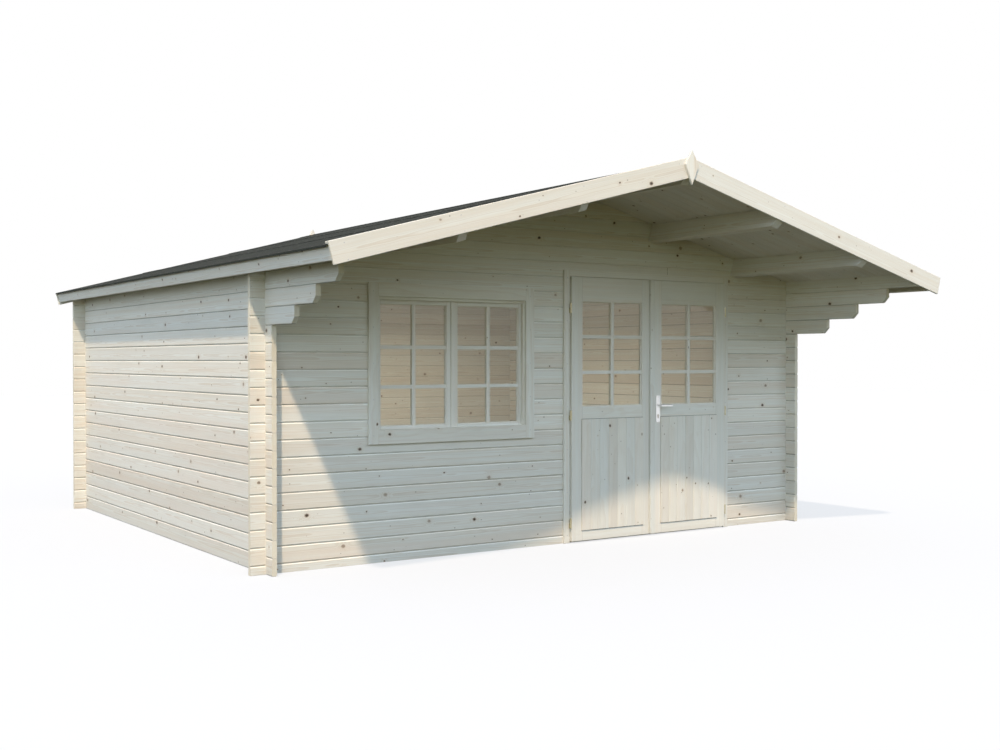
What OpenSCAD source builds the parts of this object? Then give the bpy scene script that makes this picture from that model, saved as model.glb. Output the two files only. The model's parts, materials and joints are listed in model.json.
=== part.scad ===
// Guest cabin: log walls with crossed corners, a low gable roof with a deep front canopy,
// a two-sash window and an outward-opening double door. Millimetres, +Z up.
// Origin: on the ground under the middle of the roof. The front wall faces -Y.

/* [Walls] */
// Width over the outer faces of the side walls
wall_w = 4794; // [4700:1:5000]
// Depth over the outer faces of the front and back walls
wall_d = 4230; // [4000:1:4600]
// Thickness of a wall log
log_t = 34; // [30:1:40]
// Height of one log course
log_h = 114; // [112:1:116]
// How far the log ends run past each corner
log_end = 103; // [80:1:130]
// Depth of the bevel along each log edge
bevel_d = 5; // [2:1:8]
// Height of the bevel along each log edge
bevel_h = 6; // [3:1:9]

/* [Canopy brackets] */
// Reach of the lowest bracket log in front of the front wall
bracket_reach = 449; // [300:1:600]
// How much further each bracket log above it reaches
bracket_step = 300; // [200:10:340]
// Size of the cut under the nose of each bracket log
nose_cut = 44; // [20:1:60]

/* [Roof] */
// Slope of the roof, degrees
roof_angle = 14.83; // [14:0.01:16]
// Height of the underside of the roof boards at the ridge
ridge_z = 2665; // [2650:1:2700]
// Overhang of the roof boards past the front wall
over_front = 1345; // [1300:5:1500]
// Overhang of the roof boards past the back wall
over_back = 145; // [120:5:300]
// Length of the roof boards down the slope, ridge to eave
slope_len = 2667; // [2660:1:2760]
// Thickness of the roof boards
board_t = 19; // [16:1:24]
// Thickness of the roofing felt
felt_t = 3; // [2:0.5:5]
// Thickness of the eave boards and gable boards
trim_t = 18; // [15:1:25]
// Height of the eave boards, square to the slope
eave_h = 88; // [60:1:120]
// Width of the front gable boards, square to the slope
barge_h = 132; // [110:1:160]
// Width of the back gable boards, square to the slope
back_barge_h = 114; // [100:1:140]
// How far the front gable boards stand above the felt
barge_rise = 15; // [10:1:25]
// Width of the cover strips on the felt behind the front gable boards
strip_w = 40; // [30:1:60]
// Width of a purlin
purlin_w = 64; // [45:1:70]
// Height of a purlin; the side purlins stand square to the slope
purlin_h = 138; // [120:1:160]
// Distance of the inner side purlins from the ridge, down the slope
inner_purlin = 910; // [860:1:960]
// Distance of the outer side purlins from the ridge, down the slope
outer_purlin = 1830; // [1780:1:1880]
// Size of the cut under each purlin end
purlin_cut = 45; // [30:1:60]
// Width of a diamond at the ridge end
diamond_w = 116; // [90:1:130]
// Height of a diamond
diamond_h = 225; // [200:1:260]
// Height of a diamond's top above the ground
diamond_top = 2745; // [2730:1:2770]

/* [Floor] */
// Thickness of the floor boards
floor_t = 19; // [16:1:28]

/* [Window] */
// Middle of the window, from the middle of the cabin
window_x = -980; // [-1100:5:-900]
// Width over the window's outer casing
window_w = 1364; // [1300:2:1400]
// Casing width
casing_w = 74; // [60:1:80]
// Casing thickness, on the outside and the inside of the wall
casing_t = 20; // [15:1:22]
// Glass width in each sash
pane_w = 524; // [480:1:540]
// Width of the sash bars that meet in the middle
sash_bar = 46; // [40:1:50]
// Width of the thin glazing bars
bar_w = 26; // [18:1:30]
// Width of the cover strip over the joint of the two sashes
sash_strip_w = 24; // [20:1:30]
// Height of the glass bottom above the ground
pane_low = 921; // [915:1:935]
// Height of the glass top above the ground
pane_high = 1757; // [1745:1:1775]

/* [Door] */
// Middle of the double door, from the middle of the cabin
door_x = 818; // [780:1:860]
// Width over both leaves
door_w = 1570; // [1500:2:1600]
// Height of the leaf bottom above the ground
leaf_low = 13; // [8:1:18]
// Height of the leaf top above the ground
leaf_high = 1998; // [1990:1:2005]
// Leaf thickness
leaf_t = 40; // [36:1:44]
// Width of the leaf stiles
stile_w = 100; // [90:1:110]
// Width of the cover strip on the right leaf
strip_leaf_w = 46; // [40:1:50]
// Clearance between a leaf and the frame
leaf_gap = 5; // [4:1:6]
// Clearance between the two leaves
meeting_gap = 8; // [7:1:10]
// Height of the door glass bottom above the ground
door_pane_low = 1023; // [1000:1:1050]
// Height of the door glass top above the ground
door_pane_high = 1815; // [1790:1:1840]
// Height of the lower panel's bottom above the ground
panel_low = 91; // [80:1:110]
// Height of the lower panel's top above the ground
panel_high = 928; // [900:1:940]
// How far the lower panel overlaps the frame around it
panel_lap = 10; // [6:1:14]
// How far the lower panel stands proud of the leaf
panel_proud = 8; // [4:1:12]
// Height of the bottom hinges
low_hinge = 150; // [120:1:220]
// Height of the middle hinges
mid_hinge = 960; // [900:1:1050]
// Height of the top hinges
top_hinge = 1765; // [1700:1:1840]
// Height of the lever's pivot
lever_z = 1017; // [1000:1:1050]
// Length of each lever from its pivot
lever_len = 118; // [100:1:130]

/* [Hidden] */

timber = "wheat";
plain_courses = 14;                               // side-wall courses below the bracket logs
purlin_s = [inner_purlin, outer_purlin];
pane_z = [pane_low, pane_high];
leaf_z = [leaf_low, leaf_high];
door_pane_z = [door_pane_low, door_pane_high];
panel_z = [panel_low, panel_high];
hinge_z = [low_hinge, mid_hinge, top_hinge];
half_w = wall_w / 2;
front_y = -(wall_d + over_back - over_front) / 2; // outer face of the front wall
back_y = front_y + wall_d;                        // outer face of the back wall
roof_y0 = front_y - over_front;
roof_y1 = back_y + over_back;
seat = 0.1;                                       // fitting gap under the roof boards and at the eaves
bracket_z = plain_courses * log_h;
plate_z = (plain_courses + 3) * log_h;
gable_z = log_h / 2 + (plain_courses + 3) * log_h; // top of the straight part of the front wall

// Window levels and half widths
window_z0 = log_h * 7.5;                   // bottom of the wall opening
window_z1 = log_h * 16.5;                  // top of the wall opening
casing_in = window_w / 2 - casing_w;       // inner edge of the casing
lip_lap = 22;                              // how much of a sash stile shows beside the lip
lip_in = pane_w + sash_bar + lip_lap;      // inner edge of the lip in front of the sashes
opening_in = lip_in + 48;                  // half width of the wall opening
casing_z = [803, 1900];
sill_top = 900;
head_low = 1785;
head_board_z = 1806;                       // bottom of the outer board over the window
lip_t = 25;
sash_t = 34;
sash_gap = 1;                              // from the middle to the edge of each sash
sash_out = pane_w + 2 * sash_bar;          // outer edge of the sashes
pane_first = 268;                          // glass below the lowest cross bar's middle
pane_next = 273;                           // spacing of the cross bars
bar_in = 4;                                // glazing bars behind the faces of the frame

// Door levels and places
door_x0 = door_x - door_w / 2;             // hinge edge of the left leaf
door_x1 = door_x + door_w / 2;             // hinge edge of the right leaf
strip_x = door_x - strip_leaf_w / 2;       // left edge of the cover strip and of the right leaf
leaf_front = front_y - leaf_t;
frame_cut = door_w / 2 + 20;               // half width of the wall opening
stop_h = 15;                               // how far the frame laps over the leaves
frame_in = door_w / 2 - stop_h;            // half width of the clear opening
door_casing_out = door_w / 2 + 56;
door_casing_top = 2049;
threshold_h = 26;
bottom_rail_z = panel_z[0] + panel_lap;
lock_rail_z = panel_z[1] - panel_lap;
hinge_r = 7;
hinge_half = 37;                           // height of each half of a hinge
hinge_out = 8;                             // axis outside the leaf's edge
hinge_y = leaf_front + 4;
strip_t = 12;                              // thickness of the cover strip on the right leaf
door_pane_first = 258;                      // the same two for the glass of the leaves
door_pane_next = 269;
panel_tongue = 14;                         // depth of the lower panel inside the leaf
panel_boards = 7;
groove = [2.5, 3];                         // half width and depth of the grooves between them
pin_r = 3;
pin_bore_r = 3.1;
pin_up = 20;                               // height of a pin inside the upper half of its hinge
lock_x = door_x + 59;
lock_plate = [40, 210, 8];
lock_below = 131;                          // plate below the lever's pivot
key_below = 78;                            // keyhole below the lever's pivot
key_r = 4;
spindle_r = 6;
spindle_bore_r = 7;
lever_out = 55;                            // lever's far face from the leaf
lever_t = 12;
lever_h = 15;
glass_t = 4;

// Height of the underside of the roof boards at a distance u from the ridge
function under_z(u) = ridge_z - u * tan(roof_angle);
// A point s down the slope and n above the underside of the roof boards
function slope_pt(s, n) = [
  s * cos(roof_angle) + n * sin(roof_angle),
  ridge_z - s * sin(roof_angle) + n * cos(roof_angle)
];

// ---- shapes that repeat ----

// Extrudes an X-Z outline from y0 to y1
module along_y(y0, y1) {
  translate([0, y1, 0]) rotate([90, 0, 0]) linear_extrude(y1 - y0) children();
}

// Extrudes a Y-Z outline from x0 to x1
module along_x(x0, x1) {
  translate([x0, 0, 0]) rotate([90, 0, 90]) linear_extrude(x1 - x0) children();
}

// A block between two corners
module block(low, high) {
  translate(low) cube(high - low);
}

// Section of stacked logs from z0 to z1, joints at first + k * log_h, bevelled on both faces
module log_section(z0, z1, first) {
  difference() {
    translate([0, z0]) square([log_t, z1 - z0]);
    for (k = [0 : plain_courses + 10])
      for (face = [0, log_t])
        if (first + k * log_h >= z0 - 1 && first + k * log_h <= z1 + 1)
          translate([face, first + k * log_h])
            polygon([[-bevel_d, 0], [0, bevel_h], [bevel_d, 0], [0, -bevel_h]]);
  }
}

// Side-wall logs on the left wall, from y0 to y1 and z0 to z1
module side_logs(y0, y1, z0, z1) {
  along_y(y0, y1) translate([-half_w, 0]) log_section(z0, z1, 0);
}

// Front or back logs from x0 to x1, outer or inner face at y
module cross_logs(y, x0, x1, z0, z1) {
  along_x(x0, x1) translate([y, 0]) log_section(z0, z1, log_h / 2);
}

// The half of each corner that belongs to the crossing log: blocks around every joint
module corner_notches(x, y, first, z0, z1) {
  for (k = [0 : plain_courses + 5])
    if (first + k * log_h >= z0 - log_h / 2 && first + k * log_h <= z1 + log_h / 2)
      translate([x, y, first + k * log_h - log_h / 4]) cube([log_t, log_t, log_h / 2]);
}

// Side-wall logs with both corners notched
module notched_side(y0, y1, z0, z1) {
  difference() {
    side_logs(y0, y1, z0, z1);
    for (y = [front_y, back_y - log_t]) corner_notches(-half_w, y, 0, z0, z1);
  }
}

// Front or back logs with both corners notched
module notched_cross(y, x0, x1, z0, z1) {
  difference() {
    cross_logs(y, x0, x1, z0, z1);
    for (x = [-half_w, half_w - log_t]) corner_notches(x, y, log_h / 2, z0, z1);
  }
}

// Cut under the front nose of a log of the left wall that starts at y, z
module nose(y, z) {
  along_x(-half_w - 1, -half_w + log_t + 1)
    polygon([
      [y - 1, z - 1], [y + nose_cut, z - 1], [y + nose_cut, z],
      [y, z + nose_cut], [y - 1, z + nose_cut]
    ]);
}

// Outline of a slab of the right-hand slope: n0 to n1 above the board undersides, s0 to s1 down
module slope_outline(s1, n0, n1) {
  polygon([
    [0, ridge_z + n0 / cos(roof_angle)], slope_pt(s1, n0),
    slope_pt(s1, n1), [0, ridge_z + n1 / cos(roof_angle)]
  ]);
}

// ---- walls ----

module left_wall() {
  color(timber) notched_side(front_y - log_end, back_y + log_end, 0, bracket_z);
}

module left_bracket_logs() {
  color(timber)
    for (k = [0 : 2]) {
      z = bracket_z + k * log_h;
      nose_y = front_y - bracket_reach - k * bracket_step;
      difference() {
        notched_side(nose_y, back_y + log_end, z, z + log_h);
        nose(nose_y, z);
      }
    }
}

module left_wall_plate() {
  color(timber)
    difference() {
      intersection() {
        side_logs(roof_y0, roof_y1, plate_z, plate_z + log_h);
        along_y(roof_y0, roof_y1)
          polygon([
            [-half_w, plate_z], [-half_w + log_t, plate_z],
            [-half_w + log_t, under_z(half_w - log_t)], [-half_w, under_z(half_w)]
          ]);
      }
      for (y = [front_y, back_y - log_t]) corner_notches(-half_w, y, 0, plate_z, plate_z);
    }
}

module right_wall() {
  mirror([1, 0, 0]) left_wall();
}

module right_bracket_logs() {
  mirror([1, 0, 0]) left_bracket_logs();
}

module right_wall_plate() {
  mirror([1, 0, 0]) left_wall_plate();
}

// Logs that run from the left corner under the window to the door
module front_wall_below_window() {
  color(timber) notched_cross(front_y, -half_w - log_end, door_x - frame_cut, 0, window_z0);
}

module front_wall_left() {
  color(timber) notched_cross(front_y, -half_w - log_end, window_x - opening_in, window_z0, window_z1);
}

module front_wall_middle() {
  color(timber) cross_logs(front_y, window_x + opening_in, door_x - frame_cut, window_z0, window_z1);
}

module front_wall_above_window() {
  color(timber) notched_cross(front_y, -half_w - log_end, door_x - frame_cut, window_z1, gable_z);
}

module front_wall_right() {
  color(timber) notched_cross(front_y, door_x + frame_cut, half_w + log_end, 0, gable_z);
}

// Gable logs above the straight wall, cut to the slope and let in around the purlins
module gable(y) {
  u = half_w - log_t;
  color(timber)
    difference() {
      intersection() {
        cross_logs(y, -half_w, half_w, gable_z, gable_z + 7 * log_h);
        along_y(y, y + log_t)
          polygon([[-u, gable_z], [u, gable_z], [u, under_z(u)], [0, ridge_z], [-u, under_z(u)]]);
      }
      block([-purlin_w / 2, y - 1, ridge_z - purlin_h], [purlin_w / 2, y + log_t + 1, ridge_z + 1]);
      for (side = [0, 1])
        mirror([side, 0, 0])
          for (s = purlin_s)
            on_slope(s) block([-purlin_w / 2, y - 1, -purlin_h], [purlin_w / 2, y + log_t + 1, 20]);
    }
}

module front_gable() {
  gable(front_y);
}

module back_wall() {
  color(timber) notched_cross(back_y - log_t, -half_w - log_end, half_w + log_end, 0, gable_z);
}

module back_gable() {
  gable(back_y - log_t);
}

// ---- roof ----

// Moves a shape drawn below Z = 0 to a place s down the right-hand slope
module on_slope(s) {
  translate([0, 0, ridge_z]) rotate([0, roof_angle, 0]) translate([s, 0, 0]) children();
}

// A purlin with its top at Z = 0, cut under both ends
module purlin() {
  along_x(-purlin_w / 2, purlin_w / 2)
    polygon([
      [roof_y0, 0], [roof_y0, purlin_cut - purlin_h], [roof_y0 + purlin_cut, -purlin_h],
      [roof_y1 - purlin_cut, -purlin_h], [roof_y1, purlin_cut - purlin_h], [roof_y1, 0]
    ]);
}

module ridge_purlin() {
  u = purlin_w / 2;
  color(timber)
    intersection() {
      translate([0, 0, ridge_z]) purlin();
      translate([0, 0, -seat])
        along_y(roof_y0, roof_y1)
          polygon([[-u, 2000], [u, 2000], [u, under_z(u)], [0, ridge_z], [-u, under_z(u)]]);
    }
}

module right_purlins() {
  color(timber) for (s = purlin_s) on_slope(s) purlin();
}

module left_purlins() {
  mirror([1, 0, 0]) right_purlins();
}

module right_roof_boards() {
  color(timber) along_y(roof_y0, roof_y1) slope_outline(slope_len, 0, board_t);
}

module left_roof_boards() {
  mirror([1, 0, 0]) right_roof_boards();
}

module right_roof_felt() {
  color("darkslategray")
    along_y(roof_y0, roof_y1) slope_outline(slope_len + trim_t, board_t, board_t + felt_t);
}

module left_roof_felt() {
  mirror([1, 0, 0]) right_roof_felt();
}

module right_eave_board() {
  s0 = slope_len + seat;
  s1 = slope_len + trim_t;
  color(timber)
    along_y(roof_y0, roof_y1)
      polygon([
        slope_pt(s0, board_t - eave_h), slope_pt(s1, board_t - eave_h),
        slope_pt(s1, board_t), slope_pt(s0, board_t)
      ]);
}

module left_eave_board() {
  mirror([1, 0, 0]) right_eave_board();
}

// A gable board h wide whose top is n above the undersides of the roof boards, its outer face
// at y and its end past the eave board
module gable_board(y, h, n, past) {
  color(timber) along_y(y, y + trim_t) slope_outline(slope_len + trim_t + past, n - h, n);
}

module front_right_gable_board() {
  gable_board(roof_y0 - trim_t, barge_h, board_t + felt_t + barge_rise, 6);
}

module front_left_gable_board() {
  mirror([1, 0, 0]) front_right_gable_board();
}

module back_right_gable_board() {
  gable_board(roof_y1, back_barge_h, board_t + felt_t, 12);
}

module back_left_gable_board() {
  mirror([1, 0, 0]) back_right_gable_board();
}

// Two strips on the felt, a 2 mm joint between them at the ridge
module front_cover_strips() {
  n = board_t + felt_t;
  color(timber)
    difference() {
      for (side = [0, 1])
        mirror([side, 0, 0])
          along_y(roof_y0, roof_y0 + strip_w) slope_outline(slope_len + trim_t, n, n + barge_rise);
      block([-1, roof_y0 - 1, ridge_z], [1, roof_y0 + strip_w + 1, ridge_z + 100]);
    }
}

module ridge_diamonds() {
  wide_z = diamond_top - 0.42 * diamond_h;
  color(timber)
    for (y = [roof_y0 - 2 * trim_t, roof_y1 + trim_t])
      along_y(y, y + trim_t)
        polygon([
          [0, diamond_top], [-diamond_w / 2, wide_z],
          [0, diamond_top - diamond_h], [diamond_w / 2, wide_z]
        ]);
}

// ---- floor ----

module floor_boards() {
  color("burlywood")
    block([-half_w + log_t, front_y + log_t, 0], [half_w - log_t, back_y - log_t, floor_t]);
}

// ---- window ----

// Plan outline of the left window jamb, measured out from the middle of the window
module window_jamb_outline() {
  translate([-window_w / 2, front_y - casing_t]) square([casing_w, casing_t]);
  translate([-opening_in, front_y]) square([opening_in - lip_in, lip_t]);
  translate([-opening_in, front_y + lip_t]) square([opening_in - sash_out, sash_t]);
  translate([-window_w / 2, front_y + log_t]) square([window_w / 2 - sash_out, casing_t]);
}

module window_side_frames() {
  back = front_y + lip_t + sash_t + 1;
  color(timber)
    for (side = [0, 1])
      translate([window_x, 0, 0])
        mirror([side, 0, 0])
          difference() {
            translate([0, 0, casing_z[0]]) linear_extrude(casing_z[1] - casing_z[0]) window_jamb_outline();
            block([-opening_in, front_y, casing_z[0] - 1], [0, back, window_z0]);
            block([-opening_in, front_y, window_z1], [0, back, casing_z[1] + 1]);
          }
}

// The window's head or sill from four pairs of heights: its outer board, its lip in front of
// the sashes, the frame behind the lip, and its inner board
module window_cross_piece(outer, lip, back, inner) {
  lip_y = front_y + lip_t;
  inner_y = front_y + log_t;
  translate([window_x, 0, 0]) {
    block([-casing_in, front_y - casing_t, outer[0]], [casing_in, front_y, outer[1]]);
    block([-lip_in, front_y, lip[0]], [lip_in, lip_y, lip[1]]);
    block([-sash_out, lip_y, back[0]], [sash_out, lip_y + sash_t, back[1]]);
    block([-opening_in, inner_y, inner[0]], [opening_in, inner_y + casing_t, inner[1]]);
  }
}

module window_head() {
  color(timber)
    window_cross_piece(
      [head_board_z, casing_z[1]], [head_low, window_z1],
      [pane_z[1] + sash_bar, window_z1], [window_z1, casing_z[1]]
    );
}

module window_sill() {
  color(timber)
    window_cross_piece(
      [casing_z[0], sill_top], [window_z0, sill_top],
      [window_z0, pane_z[0] - sash_bar], [casing_z[0], window_z0]
    );
}

// A frame around a glass opening; outer and glass are lower left and upper right corners
module glazed_outline(outer, glass) {
  difference() {
    translate(outer[0]) square(outer[1] - outer[0]);
    translate(glass[0]) square(glass[1] - glass[0]);
  }
}

// One upright bar in the middle of the glass and cross bars at the given heights
module glazing_bars(glass, heights) {
  mid = (glass[0][0] + glass[1][0]) / 2;
  translate([mid - bar_w / 2, glass[0][1]]) square([bar_w, glass[1][1] - glass[0][1]]);
  for (z = heights) translate([glass[0][0], z - bar_w / 2]) square([glass[1][0] - glass[0][0], bar_w]);
}

// The right sash carries a cover strip, 1 mm clear of the left one
module window_sashes() {
  y = front_y + lip_t;
  glass = [[sash_bar, pane_z[0]], [sash_bar + pane_w, pane_z[1]]];
  outer = [[sash_gap, pane_z[0] - sash_bar], [sash_out, pane_z[1] + sash_bar]];
  heights = [pane_z[0] + pane_first, pane_z[0] + pane_first + pane_next];
  color(timber)
    translate([window_x, 0, 0]) {
      for (side = [0, 1])
        mirror([side, 0, 0]) {
          along_y(y, y + sash_t) glazed_outline(outer, glass);
          along_y(y + bar_in, y + (sash_t - glass_t) / 2) glazing_bars(glass, heights);
          along_y(y + (sash_t + glass_t) / 2, y + sash_t - bar_in) glazing_bars(glass, heights);
        }
      block([-sash_strip_w / 2, y - 9, sill_top + 1], [sash_strip_w / 2, y - 1, head_low - 1]);
      block([sash_gap, y - 1, sill_top + 1], [sash_strip_w / 2, y, head_low - 1]);
    }
}

module window_glass() {
  y = front_y + lip_t + sash_t / 2 - glass_t / 2;
  color("lightcyan", 0.4)
    translate([window_x, 0, 0])
      for (side = [-1, 1])
        translate([side * (sash_bar + pane_w / 2), 0, 0])
          block([-pane_w / 2, y, pane_z[0]], [pane_w / 2, y + glass_t, pane_z[1]]);
}

// ---- door frame ----

// Plan outline of the left door frame, measured out from the middle of the door
module door_frame_outline() {
  translate([-door_casing_out, front_y - casing_t])
    square([door_casing_out - door_w / 2 - leaf_gap, casing_t]);
  translate([-frame_cut, front_y + leaf_gap]) square([frame_cut - frame_in, log_t - leaf_gap]);
  translate([-frame_cut, front_y]) square([frame_cut - door_w / 2 - leaf_gap, leaf_gap]);
}

module door_left_frame() {
  inner_y = front_y + log_t;
  casing_in_x = -door_w / 2 - leaf_gap;
  color(timber)
    translate([door_x, 0, 0]) {
      linear_extrude(gable_z) door_frame_outline();
      block([-door_casing_out, front_y - casing_t, gable_z], [casing_in_x, front_y, door_casing_top]);
      block([-door_casing_out, inner_y, floor_t], [-frame_in, inner_y + casing_t, door_casing_top]);
    }
}

module door_right_frame() {
  translate([door_x, 0, 0]) mirror([1, 0, 0]) translate([-door_x, 0, 0]) door_left_frame();
}

module door_head() {
  w = door_w / 2 + leaf_gap;
  low = leaf_z[1] - stop_h;
  inner_y = front_y + log_t;
  color(timber)
    translate([door_x, 0, 0]) {
      block([-w, front_y - casing_t, leaf_z[1] + leaf_gap], [w, front_y, door_casing_top]);
      block([-frame_in, front_y + leaf_gap, low], [frame_in, inner_y, gable_z]);
      block([-frame_in, inner_y, low], [frame_in, inner_y + casing_t, door_casing_top]);
    }
}

module door_threshold() {
  color(timber)
    block([door_x - frame_in, front_y + leaf_gap, 0], [door_x + frame_in, front_y + log_t, threshold_h]);
}

// Lower half of each hinge with its pin, carried on the casing
module door_hinge_pins() {
  color("gold")
    for (x = [door_x0 - hinge_out, door_x1 + hinge_out])
      for (z = hinge_z) {
        out = x < door_x ? -1 : 1;
        translate([x, hinge_y, z - hinge_half - 0.5]) cylinder(r = hinge_r, h = hinge_half, $fn = 32);
        translate([x, hinge_y, z - 1]) cylinder(r = pin_r, h = pin_up + 1, $fn = 24);
        translate([x + out * 2 - 3, hinge_y, z - hinge_half - 0.5])
          cube([6, front_y - casing_t - hinge_y, hinge_half]);
      }
}

// ---- door leaves ----

// A leaf between x0 and x1 with the glass opening between g0 and g1
module leaf_frame(x0, x1, g0, g1) {
  glass = [[g0, door_pane_z[0]], [g1, door_pane_z[1]]];
  bars = [door_pane_z[0] + door_pane_first, door_pane_z[0] + door_pane_first + door_pane_next];
  mid_y = leaf_front + leaf_t / 2;
  along_y(leaf_front, front_y)
    difference() {
      translate([x0, leaf_z[0]]) square([x1 - x0, leaf_z[1] - leaf_z[0]]);
      translate(glass[0]) square(glass[1] - glass[0]);
      translate([g0, bottom_rail_z]) square([g1 - g0, lock_rail_z - bottom_rail_z]);
    }
  along_y(leaf_front + bar_in, mid_y - glass_t / 2) glazing_bars(glass, bars);
  along_y(mid_y + glass_t / 2, front_y - bar_in) glazing_bars(glass, bars);
}

module leaf_glass(g0, g1) {
  mid_y = leaf_front + leaf_t / 2;
  color("lightcyan", 0.4)
    block([g0, mid_y - glass_t / 2, door_pane_z[0]], [g1, mid_y + glass_t / 2, door_pane_z[1]]);
}

// Vertical boards let into the lower half, standing a little proud outside
module leaf_panel(g0, g1) {
  board_w = (g1 - g0 + 2 * panel_lap) / panel_boards;
  front = leaf_front - panel_proud;
  color(timber)
    difference() {
      union() {
        block([g0 - panel_lap, front, panel_z[0]], [g1 + panel_lap, leaf_front, panel_z[1]]);
        block([g0, leaf_front, bottom_rail_z], [g1, leaf_front + panel_tongue, lock_rail_z]);
      }
      for (k = [1 : panel_boards - 1])
        translate([g0 - panel_lap + k * board_w, front, 0])
          linear_extrude(leaf_z[1])
            polygon([[-groove[0], 0], [0, groove[1]], [groove[0], 0], [0, -groove[1]]]);
    }
}

left_glass = [door_x0 + stile_w, strip_x + strip_leaf_w / 2 - stile_w];
right_glass = [door_x + stile_w, door_x1 - stile_w];

module left_leaf_frame() {
  color(timber) leaf_frame(door_x0, strip_x - meeting_gap, left_glass[0], left_glass[1]);
}

module left_leaf_glass() {
  leaf_glass(left_glass[0], left_glass[1]);
}

module left_leaf_panel() {
  leaf_panel(left_glass[0], left_glass[1]);
}

// The right leaf is bored through for the lever's spindle
module right_leaf_frame() {
  color(timber)
    difference() {
      leaf_frame(strip_x, door_x1, right_glass[0], right_glass[1]);
      translate([lock_x, front_y + 1, lever_z])
        rotate([90, 0, 0]) cylinder(r = spindle_bore_r, h = leaf_t + 2, $fn = 32);
    }
}

module right_leaf_glass() {
  leaf_glass(right_glass[0], right_glass[1]);
}

module right_leaf_panel() {
  leaf_panel(right_glass[0], right_glass[1]);
}

module leaf_cover_strip() {
  color(timber)
    block([strip_x, leaf_front - strip_t, leaf_z[0]], [strip_x + strip_leaf_w, leaf_front, leaf_z[1]]);
}

// Upper halves of the hinges of one leaf, bored for the pins
module leaf_hinges(x, out) {
  color("gold")
    for (z = hinge_z)
      difference() {
        union() {
          translate([x, hinge_y, z + 0.5]) cylinder(r = hinge_r, h = hinge_half, $fn = 32);
          translate([out < 0 ? x : x - hinge_out, hinge_y - 3, z + 0.5]) cube([hinge_out, 6, hinge_half]);
        }
        translate([x, hinge_y, z]) cylinder(r = pin_bore_r, h = pin_up + 2, $fn = 24);
      }
}

module left_leaf_hinges() {
  leaf_hinges(door_x0 - hinge_out, -1);
}

module right_leaf_hinges() {
  leaf_hinges(door_x1 + hinge_out, 1);
}

// ---- lock ----

// Outer and inner plates, with holes for the lever's spindle and the key
module lock_plates() {
  color("gainsboro")
    for (y = [leaf_front - lock_plate[2], front_y])
      difference() {
        translate([lock_x - lock_plate[0] / 2, y, lever_z - lock_below])
          cube([lock_plate[0], lock_plate[2], lock_plate[1]]);
        translate([lock_x, y + lock_plate[2] + 1, lever_z])
          rotate([90, 0, 0]) cylinder(r = spindle_bore_r, h = lock_plate[2] + 2, $fn = 32);
        translate([lock_x, y + lock_plate[2] + 1, lever_z - key_below])
          rotate([90, 0, 0]) cylinder(r = key_r, h = lock_plate[2] + 2, $fn = 24);
      }
}

// Both levers and the spindle that joins them through the leaf
module lever_handles() {
  color("gainsboro") {
    translate([lock_x, front_y + lever_out, lever_z])
      rotate([90, 0, 0]) cylinder(r = spindle_r, h = leaf_t + 2 * lever_out, $fn = 32);
    for (y = [leaf_front - lever_out, front_y + lever_out - lever_t])
      translate([lock_x, 0, lever_z])
        along_y(y, y + lever_t) hull() {
          circle(r = lever_h / 2, $fn = 32);
          translate([lever_len - lever_h / 2, 0]) circle(r = lever_h / 2, $fn = 32);
        }
  }
}

left_wall();
left_bracket_logs();
left_wall_plate();
right_wall();
right_bracket_logs();
right_wall_plate();
front_wall_left();
front_wall_below_window();
front_wall_above_window();
front_wall_middle();
front_wall_right();
front_gable();
back_wall();
back_gable();
ridge_purlin();
left_purlins();
right_purlins();
left_roof_boards();
right_roof_boards();
left_roof_felt();
right_roof_felt();
left_eave_board();
right_eave_board();
front_left_gable_board();
front_right_gable_board();
back_left_gable_board();
back_right_gable_board();
front_cover_strips();
ridge_diamonds();
floor_boards();
window_side_frames();
window_head();
window_sill();
window_sashes();
window_glass();
door_left_frame();
door_right_frame();
door_head();
door_threshold();
door_hinge_pins();
left_leaf_frame();
left_leaf_glass();
left_leaf_panel();
left_leaf_hinges();
right_leaf_frame();
right_leaf_glass();
right_leaf_panel();
right_leaf_hinges();
leaf_cover_strip();
lock_plates();
lever_handles();
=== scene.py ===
import json
import math

import bmesh
import bpy
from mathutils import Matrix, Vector, noise

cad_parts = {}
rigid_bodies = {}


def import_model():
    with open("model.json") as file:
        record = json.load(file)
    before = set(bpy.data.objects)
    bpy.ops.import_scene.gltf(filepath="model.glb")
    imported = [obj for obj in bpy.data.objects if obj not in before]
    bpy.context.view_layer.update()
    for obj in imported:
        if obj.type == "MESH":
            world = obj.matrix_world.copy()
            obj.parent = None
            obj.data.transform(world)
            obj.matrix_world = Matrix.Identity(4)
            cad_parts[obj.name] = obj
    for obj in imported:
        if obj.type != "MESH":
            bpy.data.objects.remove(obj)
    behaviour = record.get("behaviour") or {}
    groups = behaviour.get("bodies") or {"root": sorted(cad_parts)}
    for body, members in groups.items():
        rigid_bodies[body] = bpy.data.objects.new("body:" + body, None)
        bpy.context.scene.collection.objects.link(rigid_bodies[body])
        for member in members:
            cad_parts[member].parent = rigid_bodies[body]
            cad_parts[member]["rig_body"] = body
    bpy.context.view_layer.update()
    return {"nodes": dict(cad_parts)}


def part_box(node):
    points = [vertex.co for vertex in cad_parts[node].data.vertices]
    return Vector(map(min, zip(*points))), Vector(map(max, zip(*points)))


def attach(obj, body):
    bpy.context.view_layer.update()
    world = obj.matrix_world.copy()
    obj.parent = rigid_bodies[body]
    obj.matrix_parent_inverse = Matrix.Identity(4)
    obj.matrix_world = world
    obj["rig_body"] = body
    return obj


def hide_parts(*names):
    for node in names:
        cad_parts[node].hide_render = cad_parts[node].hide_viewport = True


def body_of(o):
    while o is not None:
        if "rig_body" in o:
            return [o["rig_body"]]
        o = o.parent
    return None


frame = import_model()
nodes = frame["nodes"]
print("frame loaded with", len(nodes), "nodes")


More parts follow.
